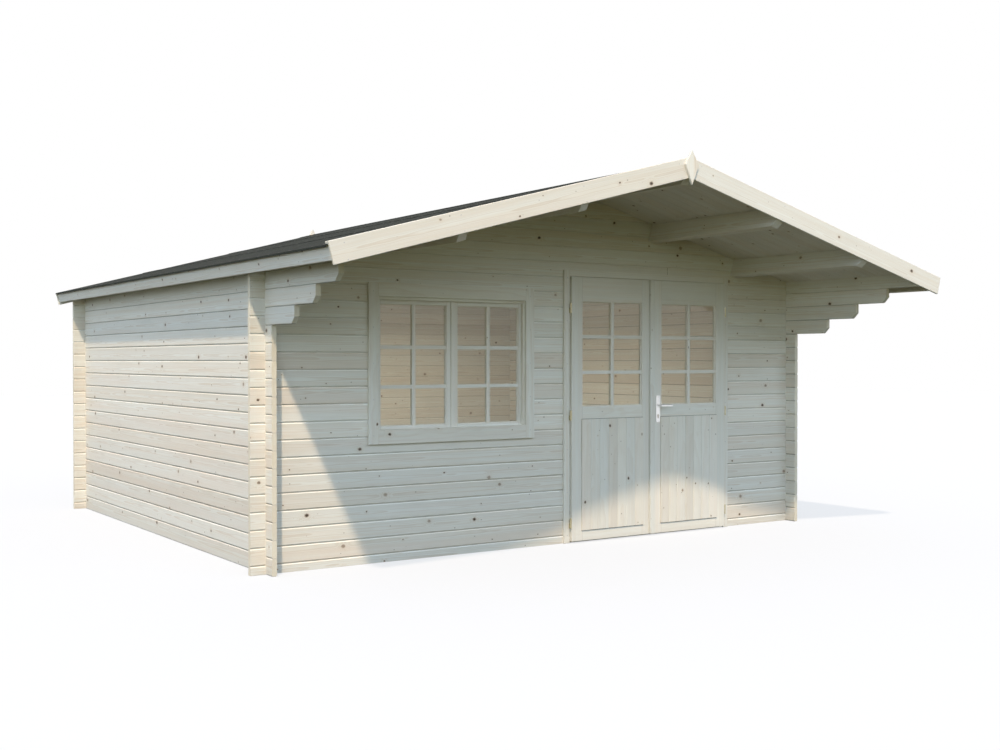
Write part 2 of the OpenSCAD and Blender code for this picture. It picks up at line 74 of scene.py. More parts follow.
def operator(operation):
    # a method that puts a socket and the other values through one Math node
    return lambda self, *others: self.shader.math(operation, self, *others)


class Field:
    # a socket that can stand in a sum
    def __init__(self, shader, socket):
        self.shader = shader
        self.socket = socket

    def __rsub__(self, other):
        return self.shader.math("SUBTRACT", other, self)

    __add__ = __radd__ = operator("ADD")
    __sub__ = operator("SUBTRACT")
    __mul__ = __rmul__ = operator("MULTIPLY")
    __truediv__ = operator("DIVIDE")
    __pow__ = operator("POWER")
    __gt__ = operator("GREATER_THAN")
    __lt__ = operator("LESS_THAN")
    __abs__ = operator("ABSOLUTE")


def newNode(tree, kind, settings, sockets):
    # the settings come first, because they can change which sockets the node has
    node = tree.nodes.new(kind)
    for key, value in (settings or {}).items():
        setattr(node, key, value)
    for key, value in (sockets or {}).items():
        value = value.socket if isinstance(value, Field) else value
        if isinstance(value, bpy.types.NodeSocket):
            tree.links.new(value, node.inputs[key])
        else:
            node.inputs[key].default_value = value
    return node


class Shader:
    # the node tree of one material or world, and the few calls that fill it
    def __init__(self, name, owner=None):
        self.material = owner or bpy.data.materials.new(name)
        self.material.use_nodes = True
        self.tree = self.material.node_tree
        self.tree.nodes.clear()

    def add(self, kind, settings=None, sockets=None, out=0):
        node = newNode(self.tree, "ShaderNode" + kind, settings, sockets)
        return Field(self, node.outputs[out]) if node.outputs else None

    def math(self, operation, *values):
        return self.add("Math", {"operation": operation}, dict(enumerate(values)))

    def rise(self, value, low, high):
        # 0 below low and 1 above high; falls instead when high is the smaller
        return self.add("MapRange", {"interpolation_type": "SMOOTHSTEP"},
                        {"Value": value, "From Min": low, "From Max": high})

    def vector(self, x, y, z):
        return self.add("CombineXYZ", None, {0: x, 1: y, 2: z})

    def noise(self, x, y, z, detail=1.0, rough=0.5):
        return self.add("TexNoise", None, {"Vector": self.vector(x, y, z), "Scale": 1.0,
                                           "Detail": detail, "Roughness": rough})

    def dice(self, x, y):
        # three fixed random numbers for each pair of whole numbers
        colour = self.add("TexWhiteNoise", {"noise_dimensions": "2D"},
                          {"Vector": self.vector(x + 0.5, y + 0.5, 0.0)}, out="Color")
        return [self.add("SeparateColor", None, {0: colour}, out=k) for k in range(3)]

    def tint(self, factor, first, second):
        return self.add("Mix", {"data_type": "RGBA"}, {0: factor, 6: first, 7: second}, out=2)

    def scale(self, colour, amount):
        return self.add("VectorMath", {"operation": "SCALE"}, {0: colour, "Scale": amount})

    def place(self, kind="Object"):
        spot = self.add("TexCoord", None, None, out=kind)
        return [self.add("SeparateXYZ", None, {0: spot}, out=k) for k in range(3)]

    def bump(self, height, depth, strength):
        return self.add("Bump", None, {"Height": height, "Distance": depth, "Strength": strength})

    def surface(self, sockets):
        return self.close(self.add("BsdfPrincipled", None, sockets))

    def close(self, shader, kind="OutputMaterial"):
        self.add(kind, None, {"Surface": shader})
        return self.material


def rgb(red, green, blue):
    return (red, green, blue, 1.0)


# log joints, with a painted highlight on the up-facing chamfer under each joint
logSize = {"pitch": 0.114, "jointHalf": 0.0017, "grooveDeep": 0.0062, "grooveHalf": 0.0085, "groovedTo": 1.55,
           "crossGap": 0.6, "chamferHighlight": 0.11, "crossFadeHeights": (1.15, 1.85), "sideFadeHeights": (1.6, 2.05),
           "buttAt": 1.015, "buttHalf": 0.0012, "buttRow": 17.0}
spruceLook = {
    "pale": rgb(0.815, 0.825, 0.79), "cream": rgb(0.775, 0.745, 0.675), "blush": rgb(0.78, 0.68, 0.595),
    "latewood": rgb(0.585, 0.485, 0.38), "stain": rgb(0.66, 0.66, 0.61),
    "knot": rgb(0.058, 0.044, 0.036), "knotEdge": rgb(0.27, 0.185, 0.125), "halo": rgb(0.63, 0.53, 0.41),
    "endGrain": rgb(0.76, 0.69, 0.545), "pin": rgb(0.17, 0.12, 0.088),
    "ringGap": 0.0036, "blushShare": 0.44, "stainShare": 0.32, "haloShare": 0.8,
    "knotStep": 0.42, "knotSmall": 0.003, "knotLarge": 0.0105,
    "pinStep": 0.17, "pinSmall": 0.0012, "pinLarge": 0.0036,
    "boardShade": 0.12, "fibreShade": 0.14, "grainDeep": 0.0006,
}


def knotField(wood, along, across, board, step, share, small, large, width, seed):
    # distance to the nearest branch in its own radii, that radius, and the branch's own darkness
    cell = wood.math("FLOOR", along / step)
    first, second, third = wood.dice(cell + seed, board)
    present = wood.rise(third, 1.0 - share, 1.0)
    radius = small + present * present * (large - small)
    du = along - (cell + 0.22 + first * 0.56) * step
    dv = across - (second - 0.5) * width
    away = (du * du * 0.62 + dv * dv) ** 0.5 / radius
    mood = wood.math("FRACT", (first + second) * 17.3)
    return away + (1.0 - (third > 1.0 - share)) * 50.0, radius, mood


def spruce(name, layout, tone, knots, vary=1.0, grain=1.0):
    # tone dims the whole; vary and grain soften the differences between boards and within them
    wood = Shader(name)
    looks = spruceLook
    x, y, z = wood.place()
    u, v, w, board, width, along, joint = layout(wood, x, y, z)
    one, two, three = wood.dice(board, 3.0)
    run = u + one * 53.0

    # the tree's rings round a pith that wanders beside the board
    sway = wood.noise(run * 0.8, v * 2.0 + board, w * 2.0, 1.0) - 0.5
    wave = wood.noise(run * 5.0, v * 14.0, w * 14.0 + board, 1.0) - 0.5
    slim = min(width / logSize["pitch"], 1.0)
    away, radius, mood = knotField(wood, run, v, board, looks["knotStep"] * slim, knots,
                                   looks["knotSmall"] * slim, looks["knotLarge"] * slim, width * 0.78, 7.0)
    away = away * (wood.noise(run * 95.0, v * 95.0, board, 2.0, 0.6) * 1.1 + 0.45)
    pin, pinMood = knotField(wood, run, v, board, looks["pinStep"], knots * 0.8, looks["pinSmall"],
                             looks["pinLarge"], width * 0.88, 31.0)[::2]
    swell = wood.math("EXPONENT", away * away * -0.14) * radius
    dv = v - (two - 0.5) * 0.07 + sway * 0.034
    dw = w - (three - 0.5) * 0.03 - 0.035
    reach = (dv * dv + dw * dw) ** 0.5 + run * 0.0035 + wave * 0.005 + swell
    ring = wood.math("FRACT", reach / looks["ringGap"])
    late = wood.rise(ring, 0.3, 0.92) * wood.rise(ring, 1.0, 0.93)

    # pale sapwood, warmer streaks, and a greyer weathering that comes and goes
    streak = wood.noise(run * 0.6, v * 46.0, w * 46.0 + board, 2.0, 0.65)
    broad = wood.noise(run * 0.55, v * 11.0 + board, w * 11.0, 2.0, 0.6)
    cloud = wood.noise(run * 1.9 + board, v * 5.0, w * 5.0, 3.0, 0.6)
    fibre = wood.noise(run * 7.0, v * 330.0, w * 330.0, 2.0, 0.6)
    warmth = (streak - 0.5) * grain + 0.5 + (three - 0.5) * 0.36 * vary
    flush = (broad - 0.5) * grain + 0.5 + (two - 0.5) * 0.42 * vary

    # saw-cut ends show the rings harder and drink in more light
    normal = wood.place("Normal")
    endness = normal[0] * 0.0
    for axis, share in enumerate(along):
        if share:
            endness = endness + normal[axis] * share
    end = wood.rise(abs(endness), 0.8, 0.96)
    speck = wood.noise(x * 900.0, y * 900.0, z * 900.0, 0.0)

    # knots: a warm halo, a bark ring and a dark heart; the little ones are red-brown
    onFace = 1.0 - end
    heart = wood.rise(away, 1.05, 0.6) * onFace
    colour = looks["pale"]
    for key, share in (
            ("cream", wood.rise(warmth, 0.28, 0.78)),
            ("blush", wood.rise(flush, 0.46, 0.84) * looks["blushShare"]),
            ("latewood", late * (0.2 + streak * 0.3) * grain),
            ("stain", wood.rise(cloud, 0.5, 0.8) * looks["stainShare"]),
            ("endGrain", end * (0.46 + late * 0.3 + speck * 0.12)),
            ("halo", wood.math("EXPONENT", away * -0.8) * onFace * looks["haloShare"]),
            ("knotEdge", wood.rise(away, 1.45, 1.0) * onFace * (mood * 0.45 + 0.45)),
            ("knot", heart * (wood.rise(mood, 0.15, 0.55) * 0.8 + 0.15)),
            ("pin", wood.rise(pin, 1.5, 0.7) * onFace * (pinMood * 0.6 + 0.35))):
        colour = wood.tint(share, colour, looks[key])

    # each board has its own shade; fibres, the joint and a painted highlight on up-facing chamfers add the
    # fine lines
    shade = (0.965 + (one - 0.5) * looks["boardShade"] * vary + (fibre - 0.5) * looks["fibreShade"]) * tone
    if "gap" in joint:
        shade = shade * (1.0 - joint["gap"] * joint.get("gapDepth", 0.8))
    # painted highlight: up-facing chamfers made paler, as if lit from above
    if "edge" in joint:
        shade = shade * (joint["edge"] * logSize["chamferHighlight"] + 1.0)
    height = fibre * 0.35 + late * 0.25 - heart * 0.5 + end * speck * 0.8
    rough = 0.62 + fibre * 0.12 - late * 0.08 - heart * 0.1 + end * 0.12
    return wood.surface({"Base Color": wood.scale(colour, shade), "Roughness": rough,
                         "Normal": wood.bump(height, looks["grainDeep"], 0.6), "Specular IOR Level": 0.3})


def middleOf(box, axis):
    return (box[0][axis] + box[1][axis]) / 2


frontMiddle = middleOf(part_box("front_gable"), 1)
backMiddle = middleOf(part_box("back_gable"), 1)
leftMiddle = middleOf(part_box("left_wall"), 0)
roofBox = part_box("right_roof_boards")
roof = {"angle": math.radians(14.83), "boardThick": 0.019, "boardCount": 60, "feltThick": 0.003,
        "purlinStep": 0.92, "front": roofBox[0][1], "back": roofBox[1][1]}
roof["cos"], roof["sin"] = math.cos(roof["angle"]), math.sin(roof["angle"])
roof["ridge"] = roofBox[1][2] - roof["boardThick"] / roof["cos"]
roof["length"] = (roofBox[1][0] - roof["boardThick"] * roof["sin"]) / roof["cos"]
roof["pitch"] = (roof["back"] - roof["front"]) / roof["boardCount"]
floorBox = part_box("floor_boards")
floorDeck = {"count": 47, "gapWide": 0.0016, "ease": 0.0012}
floorDeck["pitch"] = (floorBox[1][1] - floorBox[0][1]) / floorDeck["count"]


def boardAt(u, v, w, board, width, along, **joint):
    # a point's place along, across and through its board, the board's number, width and direction, and the
    # joint beside it
    return u, v, w, board, width, along, joint


def inRow(wood, place, start, pitch):
    # the number of the board that a place falls on, and how far the place is from the board's middle
    number = wood.math("FLOOR", (place - start) / pitch)
    return number, place - start - (number + 0.5) * pitch


def courses(wood, z, first, fadeHeights, axis):
    # the log's number, the height within it, the dark line at its joint and a painted highlight on the
    # up-facing chamfer under it; sawn ends have a fainter line, and higher up the wall both fade
    pitch = logSize["pitch"]
    normal = wood.place("Normal")
    row, inside = inRow(wood, z, first, pitch)
    gap = wood.rise(abs(inside) + logSize["jointHalf"], pitch / 2 - 0.0004, pitch / 2 + 0.0004)
    lower = 1.0 - wood.rise(z, *fadeHeights) * 0.7
    # painted highlight: chamfers that face up are made paler, as if lit from above
    edge = wood.rise(normal[2], 0.3, 0.5) * lower
    return row, inside, gap * (1.0 - (abs(normal[axis]) > 0.9) * 0.7) * lower, edge


def crossWall(wood, x, y, z):
    row, inside, gap, edge = courses(wood, z, logSize["pitch"] / 2, logSize["crossFadeHeights"], 0)
    rear = y > 0.0
    through = y - frontMiddle - rear * (backMiddle - frontMiddle)
    # one gable course over the door is butted from two lengths
    butt = (abs(x - logSize["buttAt"]) < logSize["buttHalf"]) * (abs(row - logSize["buttRow"]) < 0.5)
    # edge carries the painted highlight on the up-facing chamfers
    return boardAt(x, inside, through, row + 100.0 + rear * 40.0, logSize["pitch"], (1, 0, 0), edge=edge,
                   gap=wood.math("MAXIMUM", gap * logSize["crossGap"], butt))


def sideWall(wood, x, y, z):
    row, inside, gap = courses(wood, z, 0.0, logSize["sideFadeHeights"], 1)[:3]
    right = x > 0.0
    through = x - leftMiddle + right * leftMiddle * 2
    return boardAt(y, inside, through, row + 200.0 + right * 40.0, logSize["pitch"], (0, 1, 0), gap=gap)


def downSlope(x, z):
    # distance down the slope, and height above the undersides of the roof boards
    drop = z - roof["ridge"]
    return abs(x) * roof["cos"] - drop * roof["sin"], abs(x) * roof["sin"] + drop * roof["cos"]


def purlins(wood, x, y, z):
    run, above = downSlope(x, z)
    number = wood.math("ROUND", run / roof["purlinStep"])
    side = (x > 0.0) * (number > 0.5)
    return boardAt(y, above + 0.07, run - number * roof["purlinStep"], number + side * 4.0 + 310.0, 0.13,
                   (0, 1, 0))


def roofBoards(wood, x, y, z):
    run, above = downSlope(x, z)
    number, inside = inRow(wood, y, roof["front"], roof["pitch"])
    return boardAt(run, inside, above, number + 400.0 + (x > 0.0) * 80.0, 0.09, (roof["cos"], 0, 0))


def gableBoards(wood, x, y, z):
    run, above = downSlope(x, z)
    return boardAt(run, above + 0.03, y * 0.0 + 0.01, (x > 0.0) + (y > 0.0) * 2.0 + 562.0, 0.12,
                   (roof["cos"], 0, 0))


def eaveBoards(wood, x, y, z):
    run, above = downSlope(x, z)
    return boardAt(y, above + 0.02, run * 0.0 + 0.01, (x > 0.0) + 580.0, 0.085, (0, 1, 0))


def floorRun(wood, x, y, z):
    number, inside = inRow(wood, y, floorBox[0][1], floorDeck["pitch"])
    return boardAt(x, inside, z, number + 600.0, 0.085, (1, 0, 0))


def upright(seed, centre, apart=0.3):
    # boards that stand in pairs on both sides of a window or door
    def layout(wood, x, y, z):
        number = wood.math("ROUND", (x - centre) / apart)
        return boardAt(z, x - centre - number * apart, y * 0.5, number + seed, 0.07, (0, 0, 1))
    return layout


def level(seed, apart=0.9):
    def layout(wood, x, y, z):
        number = wood.math("ROUND", z / apart)
        return boardAt(x, z - number * apart, y * 0.5, number + seed, 0.09, (1, 0, 0))
    return layout


def joined(panes, seed, panel=None, barHalf=0.013):
    # upright stiles, with rails and cross bars running between them, a painted shadow line under the panel
    # and a dark line over it
    centres = [middleOf(pane, 0) for pane in panes]
    middle = sum(centres) / len(centres)
    half = (panes[0][1][0] - panes[0][0][0]) / 2
    bottom, top = panes[0][0][2], panes[0][1][2]

    def layout(wood, x, y, z):
        second = (x > middle) * (len(centres) - 1.0)
        away = x - centres[0] - second * (centres[-1] - centres[0])
        between = abs(away) < half
        inGlass = (z > bottom) * (z < top)
        rail = between * (1.0 - (abs(away) < barHalf) * inGlass)
        seamsAndPanelShadow = wood.rise(abs(abs(away) - half), 0.0009, 0.0002) * (1.0 - inGlass) * 0.45
        if panel:
            # painted shadow under the panel's bottom edge, and a dark line along its top
            for edge in (panel[0][2] - 0.0022, panel[1][2] + 0.0012):
                line = wood.rise(abs(z - edge), 0.0028, 0.0016) * (abs(away) < half + 0.01)
                seamsAndPanelShadow = wood.math("MAXIMUM", seamsAndPanelShadow, line)
        board = (seed + rail * (wood.math("ROUND", z / 0.27) + 5.0) + second * 20.0
                 + (away > 0.0) * (1.0 - rail) * 2.0)
        return boardAt(z + rail * (x - z), away + rail * (z - 1.0 - away), y * 0.5, board, 0.08, (0, 0, 1),
                       gap=seamsAndPanelShadow, gapDepth=0.85)
    return layout


def matching(pane, seed, count=7):
    # narrow upright boards of a lower door panel
    low, high = pane
    pitch = (high[0] - low[0]) / count

    def layout(wood, x, y, z):
        number, inside = inRow(wood, x, low[0], pitch)
        return boardAt(z, inside, y * 0.5, number + seed, pitch, (0, 0, 1), gapDepth=0.16,
                       gap=wood.rise(abs(inside), pitch / 2 - 0.0012, pitch / 2 - 0.0002))
    return layout


def both(*names):
    # the names of the left pieces and then of the right ones
    return [word + "_" + name for word in ("left", "right") for name in names]


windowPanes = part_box("window_glass")
leafPanes = [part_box(name) for name in both("leaf_glass")]
leafPanels = [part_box(name) for name in both("leaf_panel")]
paneWide = 0.524
sashPanes = [(windowPanes[0], Vector((windowPanes[0][0] + paneWide, 0, windowPanes[1][2]))),
             (Vector((windowPanes[1][0] - paneWide, 0, windowPanes[0][2])), windowPanes[1])]
woodKinds = {
    "cross": (crossWall, 1.0, 0.5),
    "side": (sideWall, 1.0, 0.5),
    "purlin": (purlins, 0.92, 0.6, 0.6),
    # dimmed tone: painted shade for the underside of the roof
    "roof": (roofBoards, 0.88, 0.6, 0.5, 0.7),
    "gable": (gableBoards, 1.03, 0.6),
    # dimmed tone: painted shade on the eave boards
    "eave": (eaveBoards, 0.93, 0.55),
    "floor": (floorRun, 0.88, 0.5),
    "diamond": (upright(690.0, 0.0), 1.06, 0.0),
    "windowSide": (upright(700.0, middleOf(windowPanes, 0)), 1.0, 0.45, 0.6, 0.55),
    "doorSide": (upright(720.0, middleOf(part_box("door_head"), 0)), 1.0, 0.45, 0.6, 0.55),
    "level": (level(740.0), 1.0, 0.4, 0.6, 0.5),
    # half tone: partly a darker hardwood, partly painted shade in the gap under the door leaves
    "threshold": (level(760.0), 0.5, 0.0, 0.6, 0.5),
    "sashes": (joined(sashPanes, 800.0), 1.0, 0.35, 0.5, 0.5),
    "leftLeaf": (joined(leafPanes[:1], 862.0, leafPanels[0]), 1.0, 0.6, 0.4, 0.45),
    "rightLeaf": (joined(leafPanes[1:], 903.0, leafPanels[1]), 1.0, 0.6, 0.4, 0.45),
    "leftPanel": (matching(leafPanels[0], 940.0), 1.0, 0.55, 0.8, 0.4),
    "rightPanel": (matching(leafPanels[1], 960.0), 1.0, 0.55, 0.8, 0.4),
}
woods = {key: spruce(key + "Spruce", *kind) for key, kind in woodKinds.items()}
print("spruce materials:", len(woods))


feltLook = {"dark": rgb(0.02, 0.024, 0.022), "chip": rgb(0.06, 0.069, 0.064),
            "dust": rgb(0.04, 0.044, 0.041), "dustShare": 0.4, "grainDeep": 0.0008}
glassLook = {"clear": rgb(0.955, 0.972, 0.962), "mirror": rgb(0.93, 0.95, 0.95), "atNormal": 0.045}
metalLook = {
    "hinge": (rgb(0.54, 0.5, 0.34), rgb(0.4, 0.36, 0.23), 0.42),
    "satin": (rgb(0.84, 0.85, 0.85), rgb(0.72, 0.73, 0.74), 0.3),
    "zinc": (rgb(0.62, 0.63, 0.64), rgb(0.42, 0.42, 0.43), 0.42),
    "nickel": (rgb(0.5, 0.48, 0.42), rgb(0.34, 0.32, 0.28), 0.34),
    "clout": (rgb(0.22, 0.22, 0.23), rgb(0.1, 0.1, 0.1), 0.55),
}


def mineralFelt(name):
    felt = Shader(name)
    x, y, z = felt.place()
    grit = felt.noise(x * 420.0, y * 420.0, z * 420.0, 1.0)
    patch = felt.noise(x * 1.7, y * 0.9, z * 1.7, 3.0, 0.6)
    chips = felt.add("TexVoronoi", {"feature": "F1"}, {"Vector": felt.vector(x, y, z), "Scale": 300.0},
                     out="Color")
    chip = felt.add("SeparateColor", None, {0: chips}, out=0)
    colour = felt.tint(felt.rise(chip, 0.55, 1.0), feltLook["dark"], feltLook["chip"])
    colour = felt.tint(felt.rise(patch, 0.35, 0.75) * feltLook["dustShare"], colour, feltLook["dust"])
    return felt.surface({"Base Color": colour, "Roughness": 0.88 + grit * 0.1, "Specular IOR Level": 0.08,
                         "Normal": felt.bump(grit + chip * 0.5, feltLook["grainDeep"], 0.5)})


def clearGlass(name):
    # both faces mirror by the angle alone, so the pane stays clear from either side
    glass = Shader(name)
    x, y, z = glass.place()
    smear = glass.noise(x * 3.0, y * 3.0, z * 3.0, 2.0)
    facing = glass.add("LayerWeight", None, {"Blend": 0.5}, out="Facing")
    through = glass.add("BsdfTransparent", None, {"Color": glassLook["clear"]})
    mirror = glass.add("BsdfPrincipled", None, {
        "Base Color": glassLook["mirror"], "Metallic": 1.0, "Roughness": 0.02 + smear * 0.02})
    share = facing ** 5.0 * (1.0 - glassLook["atNormal"]) + glassLook["atNormal"]
    return glass.close(glass.add("MixShader", None, {0: share, 1: through, 2: mirror}))


def wornMetal(name, look):
    colour, deep, rough = look
    metal = Shader(name)
    x, y, z = metal.place()
    cloud = metal.noise(x * 60.0, y * 60.0, z * 60.0, 3.0, 0.6)
    brushed = metal.noise(x * 900.0, y * 900.0, z * 90.0, 1.0)
    mixed = metal.tint(metal.rise(cloud, 0.35, 0.75) * 0.7, colour, deep)
    return metal.surface({"Base Color": mixed, "Roughness": rough + cloud * 0.12 + brushed * 0.06,
                          "Metallic": 1.0, "Normal": metal.bump(brushed, 0.0002, 0.4)})


feltSkin = mineralFelt("mineralFelt")
paneGlass = clearGlass("paneGlass")
metals = {key: wornMetal(key + "Metal", look) for key, look in metalLook.items()}
skins = {
    "cross": ["front_wall_below_window", "front_wall_left", "front_wall_middle", "front_wall_above_window",
              "front_wall_right", "front_gable", "back_wall", "back_gable"],
    "side": both("wall", "bracket_logs", "wall_plate"), "purlin": ["ridge_purlin", *both("purlins")],
    "roof": both("roof_boards"), "eave": both("eave_board"),
    "gable": ["front_left_gable_board", "front_right_gable_board", "back_left_gable_board",
              "back_right_gable_board", "front_cover_strips"],
    "floor": ["floor_boards"],
    "diamond": ["ridge_diamonds"],
    "windowSide": ["window_side_frames"],
    "doorSide": ["door_left_frame", "door_right_frame", "leaf_cover_strip"],
    "level": ["window_head", "window_sill", "door_head"], "threshold": ["door_threshold"],
    "sashes": ["window_sashes"],
    "leftLeaf": ["left_leaf_frame"], "rightLeaf": ["right_leaf_frame"],
    "leftPanel": ["left_leaf_panel"], "rightPanel": ["right_leaf_panel"],
}
skinned = {name: woods[key] for key, names in skins.items() for name in names}
for finish, names in ((feltSkin, both("roof_felt")), (paneGlass, ["window_glass", *both("leaf_glass")]),
                      (metals["hinge"], ["door_hinge_pins", *both("leaf_hinges")]),
                      (metals["satin"], ["lock_plates", "lever_handles"])):
    skinned.update(dict.fromkeys(names, finish))
for name, node in nodes.items():
    node.data.materials.clear()
    node.data.materials.append(skinned[name])
print("every node has its finish:", len(skinned))


def plainMesh(name, shape):
    mesh = bpy.data.meshes.new(name)
    shape.to_mesh(mesh)
    shape.free()
    return mesh


def smoothed(mesh, angle):
    # smooth shading, with the edges sharper than the angle kept crisp
    mesh.polygons.foreach_set("use_smooth", [True] * len(mesh.polygons))
    mesh.set_sharp_from_angle(angle=math.radians(angle))
    return mesh


def meshFrom(name, shape, smooth=None):
    # a bmesh made into a mesh with its faces pointing outwards
    bmesh.ops.remove_doubles(shape, verts=shape.verts, dist=1e-6)
    bmesh.ops.recalc_face_normals(shape, faces=shape.faces)
    mesh = plainMesh(name, shape)
    return smoothed(mesh, smooth) if smooth else mesh


def newObject(name, data):
    thing = bpy.data.objects.new(name, data)
    bpy.context.scene.collection.objects.link(thing)
    return thing


def addPiece(name, mesh, material, body, replaced=()):
    piece = newObject(name, mesh)
    if material:
        mesh.materials.clear()
        mesh.materials.append(material)
    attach(piece, body)
    if replaced:
        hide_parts(*replaced)
    return piece


def loft(shape, loops, closed=False):
    # quads between matching loops of points, with capped ends unless it closes on itself
    rings = [[shape.verts.new(point) for point in loop] for loop in loops]
    for first, second in zip(rings, rings[1:] + (rings[:1] if closed else [])):
        for k in range(len(first)):
            j = (k + 1) % len(first)
            shape.faces.new((first[k], first[j], second[j], second[k]))
    if not closed:
        shape.faces.new(list(reversed(rings[0])))
        shape.faces.new(rings[-1])


def lofted(name, loops, smooth=None):
    shape = bmesh.new()
    loft(shape, loops)
    return meshFrom(name, shape, smooth)


def circle(radius, count):
    angles = [2 * math.pi * k / count for k in range(count)]
    return [(radius * math.cos(angle), radius * math.sin(angle)) for angle in angles]


class Flow:
    # a Geometry Nodes tree whose named inputs are set on the modifier
    def __init__(self, name, inputs):
        self.tree = bpy.data.node_groups.new(name, "GeometryNodeTree")
        face = self.tree.interface
        face.new_socket("Geometry", in_out="OUTPUT", socket_type="NodeSocketGeometry")
        for label, kind in {"Geometry": "Geometry", **inputs}.items():
            face.new_socket(label, in_out="INPUT", socket_type="NodeSocket" + kind)
        self.given = self.tree.nodes.new("NodeGroupInput").outputs

    def add(self, kind, settings=None, sockets=None, out=0):
        return newNode(self.tree, kind, settings, sockets).outputs[out]

    def chance(self, top):
        return self.add("FunctionNodeRandomValue", {"data_type": "FLOAT"},
                        {2: 0.0, 3: top, "Seed": self.given["Seed"]}, out=1)

    def part(self, label):
        return self.add("GeometryNodeObjectInfo", None, {"Object": self.given[label]}, out="Geometry")

    def end(self, geometry):
        solid = self.add("GeometryNodeRealizeInstances", None, {"Geometry": geometry})
        finished = self.add("GeometryNodeSetMaterial", None,
                            {"Geometry": solid, "Material": self.given["Finish"]})
        self.tree.links.new(finished, self.tree.nodes.new("NodeGroupOutput").inputs[0])

    def grow(self, name, mesh, values):
        # runs the tree on a host mesh and returns the result as a plain mesh
        host = newObject(name, mesh)
        modifier = host.modifiers.new("flow", "NODES")
        modifier.node_group = self.tree
        for item in self.tree.interface.items_tree:
            if item.in_out == "INPUT" and item.name in values:
                modifier[item.identifier] = values[item.name]
        graph = bpy.context.evaluated_depsgraph_get()
        grown = bpy.data.meshes.new_from_object(host.evaluated_get(graph))
        host.modifiers.remove(modifier)
        bpy.data.objects.remove(host)
        grown.name = name
        return grown


def boardFlow():
    # boards side by side along a line; each lies a hair higher than planned, by chance
    flow = Flow("boardRow", {"Board": "Object", "Count": "Int", "Start": "Vector", "Step": "Vector",
                             "Play": "Float", "Seed": "Int", "Finish": "Material"})
    line = flow.add("GeometryNodeMeshLine", {"mode": "OFFSET"}, {
        "Count": flow.given["Count"], "Start Location": flow.given["Start"], "Offset": flow.given["Step"]})
    shift = flow.add("ShaderNodeCombineXYZ", None, {"Z": flow.chance(flow.given["Play"])})
    places = flow.add("GeometryNodeSetPosition", None, {"Geometry": line, "Offset": shift})
    flow.end(flow.add("GeometryNodeInstanceOnPoints", None,
                      {"Points": places, "Instance": flow.part("Board")}))
    return flow


def fixingFlow():
    # heads of nails and screws at the points of a mesh, square to each point's own direction
    flow = Flow("fixingHeads", {"Head": "Object", "Size": "Float", "Seed": "Int", "Finish": "Material"})
    facing = flow.add("GeometryNodeInputNamedAttribute", {"data_type": "FLOAT_VECTOR"}, {"Name": "facing"})
    aim = flow.add("FunctionNodeAlignRotationToVector", {"axis": "Z"}, {"Vector": facing})
    turn = flow.add("FunctionNodeAxisAngleToRotation", None,
                    {"Axis": (0.0, 0.0, 1.0), "Angle": flow.chance(2 * math.pi)})
    aimed = flow.add("FunctionNodeRotateRotation", {"rotation_space": "LOCAL"},
                     {"Rotation": aim, "Rotate By": turn})
    size = flow.add("ShaderNodeCombineXYZ", None, {axis: flow.given["Size"] for axis in "XYZ"})
    flow.end(flow.add("GeometryNodeInstanceOnPoints", None, {
        "Points": flow.given["Geometry"], "Instance": flow.part("Head"), "Rotation": aimed, "Scale": size}))
    return flow


boardRow = boardFlow()
fixingHeads = fixingFlow()


def slopePoint(run, above, side):
    return (side * (run * roof["cos"] + above * roof["sin"]),
            roof["ridge"] - run * roof["sin"] + above * roof["cos"])


def layBoards(name, mesh, count, start, pitch, play, seed, finish):
    # the board is an object only so that the tree can copy it, and it never joins the scene
    board = bpy.data.objects.new("board", mesh)
    rows = boardRow.grow(name, bpy.data.meshes.new("host"), {
        "Board": board, "Count": count, "Start": (0.0, start + pitch / 2, 0.0), "Step": (0.0, pitch, 0.0),
        "Play": play, "Seed": seed, "Finish": finish})
    addPiece(name.replace("_boards", "_planks"), rows, None, "cabin", [name])
    bpy.data.objects.remove(board)


sides = ((-1.0, "left"), (1.0, "right"))
roofDeck = {"chamfer": 0.002, "play": 0.0002, "seeds": {"left": 11, "right": 12}}


def roofBoardMesh(side):
    # one tongued board from ridge to eave, chamfered underneath where it meets its neighbours
    half, thick, cut = roof["pitch"] / 2, roof["boardThick"], roofDeck["chamfer"]
    outline = [(-half, thick), (half, thick), (half, cut), (half - cut, 0.0), (cut - half, 0.0), (-half, cut)]
    ends = []
    for y, above in outline:
        x, z = slopePoint(roof["length"], above, side)
        ends.append(((0.0, y, roof["ridge"] + above / roof["cos"]), (x, y, z)))
    return lofted("roofBoard", list(zip(*ends)))


def floorBoardMesh():
    half = (floorDeck["pitch"] - floorDeck["gapWide"]) / 2
    top, ease = floorBox[1][2], floorDeck["ease"]
    outline = [(-half, 0.0), (half, 0.0), (half, top - ease), (half - ease, top), (ease - half, top),
               (-half, top - ease)]
    return lofted("floorBoard", [[(x, y, z) for y, z in outline] for x in (floorBox[0][0], floorBox[1][0])])


for side, word in sides:
    layBoards(word + "_roof_boards", roofBoardMesh(side), roof["boardCount"], roof["front"], roof["pitch"],
              roofDeck["play"], roofDeck["seeds"][word], woods["roof"])
layBoards("floor_boards", floorBoardMesh(), floorDeck["count"], floorBox[0][1], floorDeck["pitch"], 0.0,
          5, woods["floor"])
print("roof and floor boards laid")


felt = {"lift": 0.0032, "ripple": 0.0007, "capHalf": 0.16, "capSteps": 6, "stations": 72, "steps": 16,
        "rolls": ((1.77, 2.685), (0.87, 1.86), (0.0, 0.96)), "climbFrom": -0.02, "climbTo": 0.005,
        "drip": 0.016, "dripThick": 0.0022, "droop": 0.009, "droopThick": 0.0035, "tuck": 0.001}


